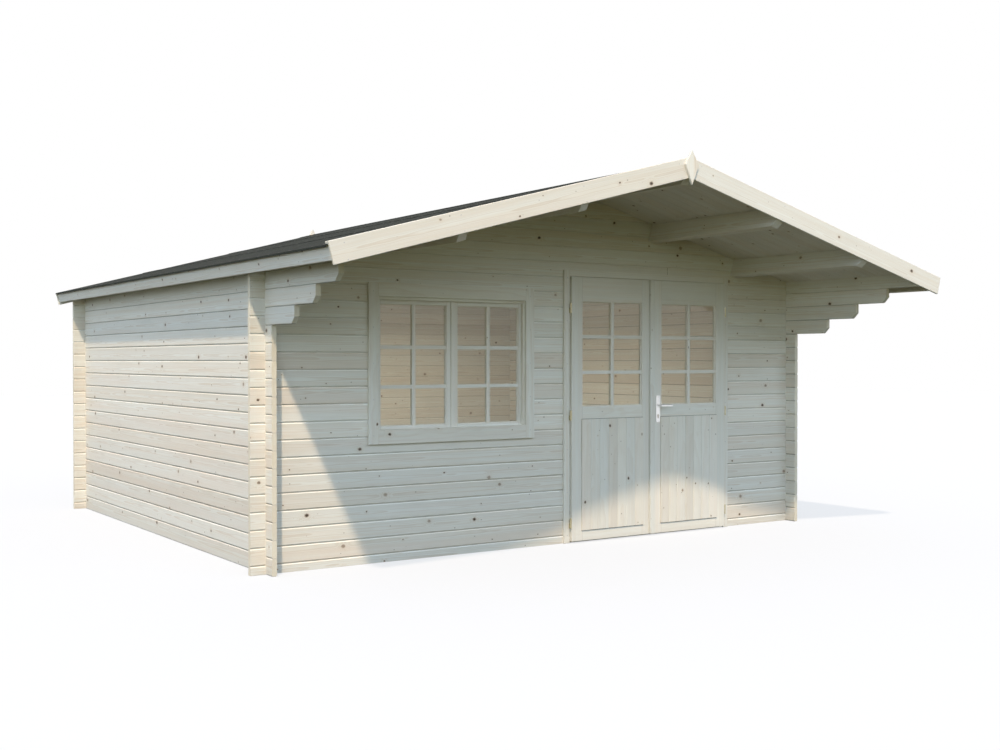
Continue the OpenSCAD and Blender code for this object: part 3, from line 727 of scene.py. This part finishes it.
def ripple(run, y, side):
    return felt["ripple"] * noise.noise(Vector((run * 2.3 + side * 9.0, y * 1.7, 0.3)))


def stations():
    # where the cross-sections of the felt stand along the roof
    return [roof["front"] + (roof["back"] - roof["front"]) * k / felt["stations"]
            for k in range(felt["stations"] + 1)]


def feltRoll(shape, side, start, stop, under):
    # one roll laid along the roof; its lower edge rides up on the roll below it, and the lowest drips
    runs = [start + (stop - start) * k / felt["steps"] for k in range(felt["steps"] + 1)]
    if under is not None:
        runs = sorted(set(runs + [under + felt["climbFrom"], under + felt["climbTo"]]))
    base = roof["boardThick"]

    def above(run):
        if under is None:
            return base
        climb = (run - under - felt["climbFrom"]) / (felt["climbTo"] - felt["climbFrom"])
        return base + felt["lift"] * min(max(climb, 0.0), 1.0)

    loops = []
    for y in stations():
        low = [(run, above(run)) for run in runs]
        high = [(run, above(run) + roof["feltThick"] + abs(ripple(run, y, side))) for run in runs]
        if under is None:
            edge = stop + felt["drip"]
            low += [(edge, base - felt["tuck"]), (edge + felt["tuck"], base - felt["droop"])]
            high += [(edge, base + felt["dripThick"]), (edge + felt["droopThick"], base - felt["droop"])]
        ring = []
        for run, up in low + high[::-1]:
            x, z = slopePoint(run, up, side)
            ring.append((side * max(side * x, 0.0), y, z))
        loops.append(ring)
    loft(shape, loops)


def feltMesh(side):
    shape = bmesh.new()
    lowerEdge = None
    for start, stop in felt["rolls"]:
        feltRoll(shape, side, start, stop, lowerEdge)
        lowerEdge = start
    return meshFrom("felt", shape, 40)


def ridgeCapMesh():
    base = roof["boardThick"] + roof["feltThick"]
    loops = []
    for y in stations():
        low, high = [], []
        for step in range(-felt["capSteps"], felt["capSteps"] + 1):
            run = felt["capHalf"] * abs(step) / felt["capSteps"]
            side = -1.0 if step < 0 else 1.0
            for row, up in ((low, base), (high, base + roof["feltThick"] + abs(ripple(run, y, side)))):
                x, z = slopePoint(run, up, side)
                if step == 0:
                    x, z = 0.0, roof["ridge"] + up / roof["cos"]
                row.append((x, y, z))
        loops.append(low + high[::-1])
    return lofted("ridgeCap", loops, 40)


for side, word in sides:
    addPiece(word + "_roof_felt_rolls", feltMesh(side), feltSkin, "cabin", [word + "_roof_felt"])
addPiece("ridge_cap_felt", ridgeCapMesh(), feltSkin, "cabin")
print("felt laid")


heads = {
    "clout": {"radius": 0.0048, "rise": 0.0011, "sides": 10},
    "screw": {"radius": 0.0038, "rise": 0.0005, "sides": 12, "recess": 0.0014, "deep": 0.0008},
}


def headMesh(look):
    # a low domed head, or a flat one with a small recess
    radius, rise = look["radius"], look["rise"]
    rings = [(radius, -0.0006), (radius, rise * 0.45), (radius * 0.84, rise)]
    if "recess" in look:
        rings += [(look["recess"], rise), (look["recess"], rise - look["deep"])]
    else:
        rings.append((radius * 0.4, rise * 1.12))
    return lofted("head", [[(x, y, z) for x, y in circle(size, look["sides"])] for size, z in rings], 35)


def alongLine(start, end, count, facing):
    start, end = Vector(start), Vector(end)
    return [(start.lerp(end, k / (count - 1)), facing) for k in range(count)]


def alongRoof(side, run, above, insets, count, facing):
    x, z = slopePoint(run, above, side)
    return alongLine((x, roof["front"] + insets[0], z), (x, roof["back"] - insets[1], z), count,
                     (side * facing[0], 0.0, facing[1]))


def fixings(name, kind, places, material, body, seed):
    mesh = bpy.data.meshes.new(name)
    mesh.from_pydata([place for place, facing in places], [], [])
    mesh.attributes.new("facing", "FLOAT_VECTOR", "POINT").data.foreach_set(
        "vector", [part for place, facing in places for part in facing])
    head = bpy.data.objects.new("head", headMesh(heads[kind]))
    grown = fixingHeads.grow(name, mesh, {"Head": head, "Size": 1.0, "Seed": seed, "Finish": material})
    addPiece(name, grown, None, body)
    bpy.data.objects.remove(head)


nailing = {"step": 0.15, "insets": (0.08, 0.03), "eaveInset": 0.012, "lapInset": 0.02}
nailing["count"] = int((roof["back"] - roof["front"]) / nailing["step"])
top = roof["boardThick"] + roof["feltThick"]
rows = [(felt["rolls"][0][1] - nailing["eaveInset"], top)]
rows += [(stop - nailing["lapInset"], top + felt["lift"]) for start, stop in felt["rolls"][1:]]
rows += [(felt["capHalf"] - nailing["lapInset"], top + roof["feltThick"])]
for side, word in sides:
    places = []
    for run, above in rows:
        places += alongRoof(side, run, above, nailing["insets"], nailing["count"], (roof["sin"], roof["cos"]))
    fixings(word + "_felt_nails", "clout", places, metals["clout"], "cabin", 21)
print("felt nailed")


def weldedCopy(name):
    shape = bmesh.new()
    shape.from_mesh(nodes[name].data)
    bmesh.ops.remove_doubles(shape, verts=shape.verts, dist=1e-5)
    return shape


def easedMesh(name, width):
    # a copy of a node with its outward edges rounded a little
    shape = weldedCopy(name)
    bmesh.ops.dissolve_limit(shape, angle_limit=math.radians(0.4), use_dissolve_boundaries=False,
                             verts=shape.verts, edges=shape.edges)
    sharp = [edge for edge in shape.edges if edge.is_manifold
             and edge.calc_face_angle_signed(0.0) > math.radians(28.0)]
    bmesh.ops.bevel(shape, geom=sharp, offset=width, offset_type="OFFSET", segments=2, profile=0.5,
                    affect="EDGES", clamp_overlap=True, miter_outer="ARC")
    return smoothed(plainMesh(name, shape), 20.0)


def groovedMesh(name, axis, first):
    # a copy of a log wall whose V grooves open a little wider, as planed logs do once they have dried
    low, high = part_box(name)
    middle, half = (low[axis] + high[axis]) / 2, (high[axis] - low[axis]) / 2
    deep, tall = logSize["grooveDeep"], logSize["grooveHalf"]
    joints = [z for z in (first + logSize["pitch"] * k for k in range(24))
              if max(low[2], 0.02) - 0.001 < z < high[2] + 0.001]
    shape = weldedCopy(name)
    for joint in joints:
        for z in (joint - tall, joint, joint + tall):
            bmesh.ops.bisect_plane(shape, geom=shape.verts[:] + shape.edges[:] + shape.faces[:], dist=1e-5,
                                   plane_co=(0.0, 0.0, z), plane_no=(0.0, 0.0, 1.0))
    for vert in shape.verts:
        away = vert.co[axis] - middle
        near = min(abs(vert.co.z - joint) for joint in joints) / tall
        if abs(away) > half - deep - 0.0003 and near < 1.001:
            vert.co[axis] = middle + math.copysign(half - deep * max(1.0 - near, 0.0), away)
    bmesh.ops.remove_doubles(shape, verts=shape.verts, dist=1e-6)
    return plainMesh(name, shape)


for key, axis, first in (("cross", 1, logSize["pitch"] / 2), ("side", 0, 0.0)):
    for name in [name for name in skins[key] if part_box(name)[0][2] < logSize["groovedTo"]]:
        addPiece(name + "_grooved", groovedMesh(name, axis, first), woods[key], "cabin", [name])
print("log joints cut")


edgeRounding = {
    "gable": 0.003, "eave": 0.002, "diamond": 0.002, "purlin": 0.003,
    "windowSide": 0.0015, "level": 0.0015, "doorSide": 0.0015, "sashes": 0.0012,
    "leftLeaf": 0.0012, "rightLeaf": 0.0012, "leftPanel": 0.0008, "rightPanel": 0.0008,
}
for key, width in edgeRounding.items():
    for name in skins[key]:
        addPiece(name + "_eased", easedMesh(name, width), skinned[name], body_of(nodes[name])[0],
                 [name])
print("trim and joinery eased")


bead = {"size": 0.0055, "steps": 3}


def glassBeads(shape, low, high, faces):
    # quarter-round beads, mitred round one pane on both faces of its glass
    size = bead["size"]
    arc = [math.pi / 2 * k / bead["steps"] for k in range(1, bead["steps"])]
    profile = [(0.0, 0.0), (0.0, size), *((size * math.sin(a), size * math.cos(a)) for a in arc), (size, 0.0)]
    corners = [(low[0], low[2], 1, 1), (high[0], low[2], -1, 1), (high[0], high[2], -1, -1),
               (low[0], high[2], 1, -1)]
    for glassY, out in faces:
        loft(shape, [[(x + inX * inset, glassY + out * height, z + inZ * inset) for inset, height in profile]
                     for x, z, inX, inZ in corners], closed=True)


for name, panes, body, wood in (("window", sashPanes, "cabin", "sashes"),
                                ("left_leaf", leafPanes[:1], "left_leaf", "leftLeaf"),
                                ("right_leaf", leafPanes[1:], "right_leaf", "rightLeaf")):
    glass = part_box(name + "_glass")
    shape = bmesh.new()
    for low, high in panes:
        glassBeads(shape, low, high, ((glass[0][1], -1.0), (glass[1][1], 1.0)))
    addPiece(name + "_beads", meshFrom(name + "_beads", shape, 35), woods[wood], body)
print("glass beaded")


meetingLip = {"wide": 0.003, "back": 0.004, "thick": 0.012, "overlap": 0.0005, "ease": 0.0008,
              "short": 0.001}


def meetingLipMesh():
    # a thin lip on the right leaf that closes most of the gap between the leaves
    low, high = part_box("right_leaf_frame")
    x0, x1 = low[0] - meetingLip["wide"], low[0] + meetingLip["overlap"]
    y0 = low[1] + meetingLip["back"]
    y1 = y0 + meetingLip["thick"]
    ease = meetingLip["ease"]
    outline = [(x1, y0), (x1, y1), (x0 + ease, y1), (x0, y1 - ease), (x0, y0 + ease), (x0 + ease, y0)]
    ends = (low[2] + meetingLip["short"], high[2] - meetingLip["short"])
    return lofted("meetingLip", [[(x, y, z) for x, y in outline] for z in ends])


addPiece("meeting_lip", meetingLipMesh(), woods["doorSide"], "right_leaf")


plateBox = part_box("lock_plates")
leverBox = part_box("lever_handles")
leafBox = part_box("right_leaf_frame")
lock = {
    "x": middleOf(plateBox, 0), "z": 1.017, "corner": 0.007, "edge": 0.0016, "screwFrom": 0.013,
    "roseRadius": 0.0105, "roseRise": 0.0045, "rose": ((1.0, -0.001), (1.0, 0.6), (0.93, 0.9), (0.8, 1.0)),
    "neckRadius": 0.0062, "gripHalfTall": 0.0078, "gripHalfThick": 0.0056, "bend": 0.013, "bow": 0.0035,
    "keyBelow": 0.078, "keyRadius": 0.0085, "keyDrop": 0.0235, "keyHalf": 0.005, "keyProud": 0.0022,
    "slotHalfWide": 0.0009, "slotHalfTall": 0.0042, "slotCorner": 0.0008,
    "faces": [(leafBox[k][1], plateBox[k][1], leverBox[k][1], 2.0 * k - 1.0) for k in (0, 1)],
}
lock["keyZ"] = lock["z"] - lock["keyBelow"]


def roundedRectangle(x0, z0, x1, z1, radius, steps=5):
    points = []
    for cx, cz, first in ((x1 - radius, z1 - radius, 0), (x0 + radius, z1 - radius, 1),
                          (x0 + radius, z0 + radius, 2), (x1 - radius, z0 + radius, 3)):
        for k in range(steps + 1):
            angle = math.pi / 2 * (first + k / steps)
            points.append((cx + radius * math.cos(angle), cz + radius * math.sin(angle)))
    return points


def stand(outline, y):
    return [(x, y, z) for x, z in outline]


def plateOutline(inset):
    low, high = plateBox
    return roundedRectangle(low[0] + inset, low[2] + inset, high[0] - inset, high[2] - inset,
                            lock["corner"] - inset)


def lockPlate(shape, barrels, leafY, faceY, out):
    edge = lock["edge"]
    loft(shape, [stand(plateOutline(inset), y) for inset, y in (
        (0.0, leafY + out * 0.0002), (0.0, faceY - out * edge), (edge * 0.3, faceY - out * edge * 0.3),
        (edge, faceY))])
    # the collar round the lever's neck
    loft(shape, [[(lock["x"] + x * share, faceY + out * rise * lock["roseRise"], lock["z"] + z * share)
                  for x, z in circle(lock["roseRadius"], 28)] for share, rise in lock["rose"]])
    # the key cylinder: a round barrel with a narrower tail below it
    half, radius = lock["keyHalf"], lock["keyRadius"]
    sweep = math.pi - math.asin(half / radius)
    outline = [(lock["x"] + radius * math.sin(a), lock["keyZ"] + radius * math.cos(a))
               for a in [-sweep + 2 * sweep * k / 20 for k in range(21)]]
    outline += [(lock["x"] + half * math.sin(a), lock["keyZ"] - lock["keyDrop"] + half - half * math.cos(a))
                for a in [math.pi / 2 - math.pi * k / 8 for k in range(9)]]
    loft(barrels, [stand(outline, faceY - out * 0.001), stand(outline, faceY + out * lock["keyProud"])])


def keyholeShade(shape, faceY, out):
    # a dark sheet on the key barrel where the keyhole opens: painted shade of the hole
    y = faceY + out * lock["keyProud"]
    wide, tall = lock["slotHalfWide"], lock["slotHalfTall"]
    outline = roundedRectangle(lock["x"] - wide, lock["keyZ"] - tall, lock["x"] + wide, lock["keyZ"] + tall,
                               lock["slotCorner"], 2)
    loft(shape, [stand(outline, y - out * 0.0005), stand(outline, y + out * 0.0001)])


def leverGrip(shape, leafY, tipY, out):
    # the neck comes straight out, bends, and runs to a rounded end
    bend, tall, thick, neck = lock["bend"], lock["gripHalfTall"], lock["gripHalfThick"], lock["neckRadius"]
    centreY = tipY - out * thick
    path = [(lock["x"], leafY + out * 0.002, 0.0), (lock["x"], centreY - out * (bend + 0.006), 0.0)]
    path += [(lock["x"] + bend * (1 - math.cos(a)), centreY - out * bend * (1 - math.sin(a)), a)
             for a in [math.pi / 2 * k / 8 for k in range(9)]]
    run = leverBox[1][0] - tall - path[-1][0]
    path += [(path[-1][0] + run * k / 6, centreY - out * lock["bow"] * math.sin(math.pi * k / 6), math.pi / 2)
             for k in range(1, 7)]
    loops = []
    for x, y, angle in path:
        blend = min(angle / (math.pi / 2), 1.0)
        halfZ = neck + (tall - neck) * blend
        halfN = neck + (thick - neck) * blend
        across = (math.cos(angle) * halfN, -out * math.sin(angle) * halfN)
        loops.append([(x + across[0] * side, y + across[1] * side, lock["z"] + halfZ * up)
                      for side, up in circle(1.0, 20)])
    for a in [math.pi / 2 * k / 6 for k in range(1, 6)]:
        endX, shrink = x + tall * math.sin(a), math.cos(a)
        loops.append([(endX, y - out * thick * shrink * side, lock["z"] + tall * shrink * up)
                      for side, up in circle(1.0, 20)])
    loft(shape, loops)


plates, barrels, levers, keyholeShades = (bmesh.new() for k in range(4))
plateScrews = []
for leafY, plateY, tipY, out in lock["faces"]:
    lockPlate(plates, barrels, leafY, plateY, out)
    keyholeShade(keyholeShades, plateY, out)
    leverGrip(levers, leafY, tipY, out)
    for z in (plateBox[0][2] + lock["screwFrom"], plateBox[1][2] - lock["screwFrom"]):
        plateScrews.append(((lock["x"], plateY, z), (0.0, out, 0.0)))
# the spindle joins both grips through the leaf
loft(levers, [[(lock["x"] + x, y, lock["z"] + z) for x, z in circle(lock["neckRadius"] * 0.8, 16)]
              for y in (leafBox[0][1] - 0.004, leafBox[1][1] + 0.004)])
for name, shape, smooth, finish, body, replaced in (
        ("long_lock_plates", plates, 32, "satin", "right_leaf", ["lock_plates"]),
        ("key_barrels", barrels, 32, "nickel", "right_leaf", []),
        # the keyhole is a dark sheet: painted shade
        ("key_slots", keyholeShades, None, "clout", "right_leaf", []),
        ("curved_levers", levers, 40, "satin", "lever", ["lever_handles"])):
    addPiece(name, meshFrom(name, shape, smooth), metals[finish], body, replaced)
fixings("plate_screws", "screw", plateScrews, metals["zinc"], "right_leaf", 31)
print("lock fitted")


trimScrew = {"runs": (0.1, 0.91, 1.83, 2.6), "high": 0.01, "frontLow": -0.085, "backLow": -0.075,
             "eaveOut": 0.018, "eaveLow": -0.028, "insets": (0.12, 0.12), "eaveCount": 10}
frameNail = {"endInset": 0.06, "rows": (("window_side_frames", 0.035, 5, (0, 1)),
                                        ("door_left_frame", 0.028, 7, (0,)),
                                        ("door_right_frame", 0.028, 7, (1,)))}


def trimScrews():
    # two screws through each gable board at each purlin, and a row along each eave board
    places = []
    for side in (-1.0, 1.0):
        for y, out, low in ((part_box("front_left_gable_board")[0][1], -1.0, trimScrew["frontLow"]),
                            (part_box("back_left_gable_board")[1][1], 1.0, trimScrew["backLow"])):
            for run in trimScrew["runs"]:
                for above in (low, trimScrew["high"]):
                    x, z = slopePoint(run, above, side)
                    places.append(((x, y, z), (0.0, out, 0.0)))
        places += alongRoof(side, roof["length"] + trimScrew["eaveOut"], trimScrew["eaveLow"],
                            trimScrew["insets"], trimScrew["eaveCount"], (roof["cos"], -roof["sin"]))
    return places


def frameNails():
    # small heads along the outer boards of the window and the door
    places = []
    for name, inset, count, ends in frameNail["rows"]:
        low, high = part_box(name)
        bottom, top = low[2] + frameNail["endInset"], high[2] - frameNail["endInset"]
        for x in [(low[0] + inset, high[0] - inset)[end] for end in ends]:
            places += alongLine((x, low[1], bottom), (x, low[1], top), count, (0.0, -1.0, 0.0))
    return places


fixings("trim_screws", "screw", trimScrews(), metals["zinc"], "cabin", 41)
fixings("frame_nails", "screw", frameNails(), metals["zinc"], "cabin", 51)
print("screws and nails driven")


studio = {
    "floorHalf": 40.0, "floorAt": -0.002, "floorGlow": 0.7, "floorColour": rgb(0.68, 0.72, 0.8),
    "floorBounce": rgb(0.042, 0.04, 0.006), "sunTravel": (0.775, 1.0, -1.61), "sunStrength": 3.05,
    "sunSpread": 1.95, "sunColour": (1.0, 0.785, 0.565),
    "skyColour": rgb(0.82, 0.96, 1.13), "hazeColour": rgb(0.82, 0.84, 0.46), "hazeDim": 0.06,
    "skyTop": 0.65, "skyFront": 1.2, "skyLow": 0.2, "skyLeft": 1.2,
    "roomLight": 36.0, "roomSize": (3.6, 2.4), "roomAt": (-0.3, 0.85, 1.75),
    "roomColour": (1.0, 0.86, 0.67),
    "cameraAt": (-5.478, -8.798, 1.3733), "cameraTurn": (89.3, 0.0, -33.875), "lens": 43.726,
}


def seenDirectly(shader):
    # 1 for the camera, reflections and what shows through glass
    kinds = [shader.add("LightPath", None, None, out="Is " + kind + " Ray")
             for kind in ("Camera", "Glossy", "Transmission")]
    return shader.math("MAXIMUM", shader.math("MAXIMUM", kinds[0], kinds[1]), kinds[2])


def studioFloor():
    half = studio["floorHalf"]
    mesh = bpy.data.meshes.new("studioFloor")
    corners = ((-half, -half), (half, -half), (half, half), (-half, half))
    mesh.from_pydata([(x, y, studio["floorAt"]) for x, y in corners], [], [(0, 1, 2, 3)])
    floor = newObject("studioFloor", mesh)
    paint = Shader("studioFloor")
    seen = seenDirectly(paint)
    matt = paint.add("BsdfDiffuse", None,
                     {"Color": paint.tint(seen, studio["floorBounce"], studio["floorColour"])})
    glow = paint.add("Emission", None, {"Color": rgb(1.0, 1.0, 1.0), "Strength": 1.0})
    mixed = paint.add("MixShader", None, {0: seen * studio["floorGlow"], 1: matt, 2: glow})
    mesh.materials.append(paint.close(mixed))


def lamp(name, kind, energy, colour):
    data = bpy.data.lights.new(name, kind)
    data.energy = energy
    data.color = colour
    return newObject(name, data)


def studioLight():
    world = bpy.context.scene.world = bpy.data.worlds.new("studioSky")
    sky = Shader("studioSky", world)
    x, y, z = sky.place("Generated")
    # a plain dome, with one soft panel in front at half height, one low on the left, and a dimmer haze just
    # over the ground in front
    front = sky.rise(z, 0.05, 0.45) * sky.rise(z, 0.85, 0.45) * sky.rise(y, 0.2, -0.7)
    low = sky.rise(z, 0.5, 0.0) * (sky.rise(x, -0.1, -0.8) * studio["skyLeft"] + studio["skyLow"])
    haze = sky.rise(z, 0.17, 0.03) * sky.rise(y, 0.1, -0.5)
    lit = sky.add("Background", None, {
        "Color": sky.tint(haze, studio["skyColour"], studio["hazeColour"]),
        "Strength": (front * studio["skyFront"] + low + studio["skyTop"]) * (1.0 - haze * studio["hazeDim"])})
    white = sky.add("Background", None, {"Color": rgb(1.0, 1.0, 1.0), "Strength": 1.0})
    sky.close(sky.add("MixShader", None, {0: seenDirectly(sky), 1: lit, 2: white}), "OutputWorld")

    sun = lamp("softSun", "SUN", studio["sunStrength"], studio["sunColour"])
    sun.data.angle = math.radians(studio["sunSpread"])
    sun.rotation_euler = Vector(studio["sunTravel"]).to_track_quat("-Z", "Y").to_euler()

    room = lamp("roomLight", "AREA", studio["roomLight"], studio["roomColour"])
    room.data.shape = "RECTANGLE"
    room.data.size, room.data.size_y = studio["roomSize"]
    room.location = studio["roomAt"]
    room.visible_camera = False
    room.visible_glossy = False


def studioCamera():
    data = bpy.data.cameras.new("studioCamera")
    data.sensor_width = 36.0
    data.lens = studio["lens"]
    data.clip_end = 200.0
    camera = newObject("studioCamera", data)
    camera.location = studio["cameraAt"]
    camera.rotation_euler = [math.radians(turn) for turn in studio["cameraTurn"]]
    bpy.context.scene.camera = camera


studioFloor()
studioLight()
studioCamera()
bpy.context.scene.view_settings.view_transform = "Standard"
print("floor, light and camera are set")
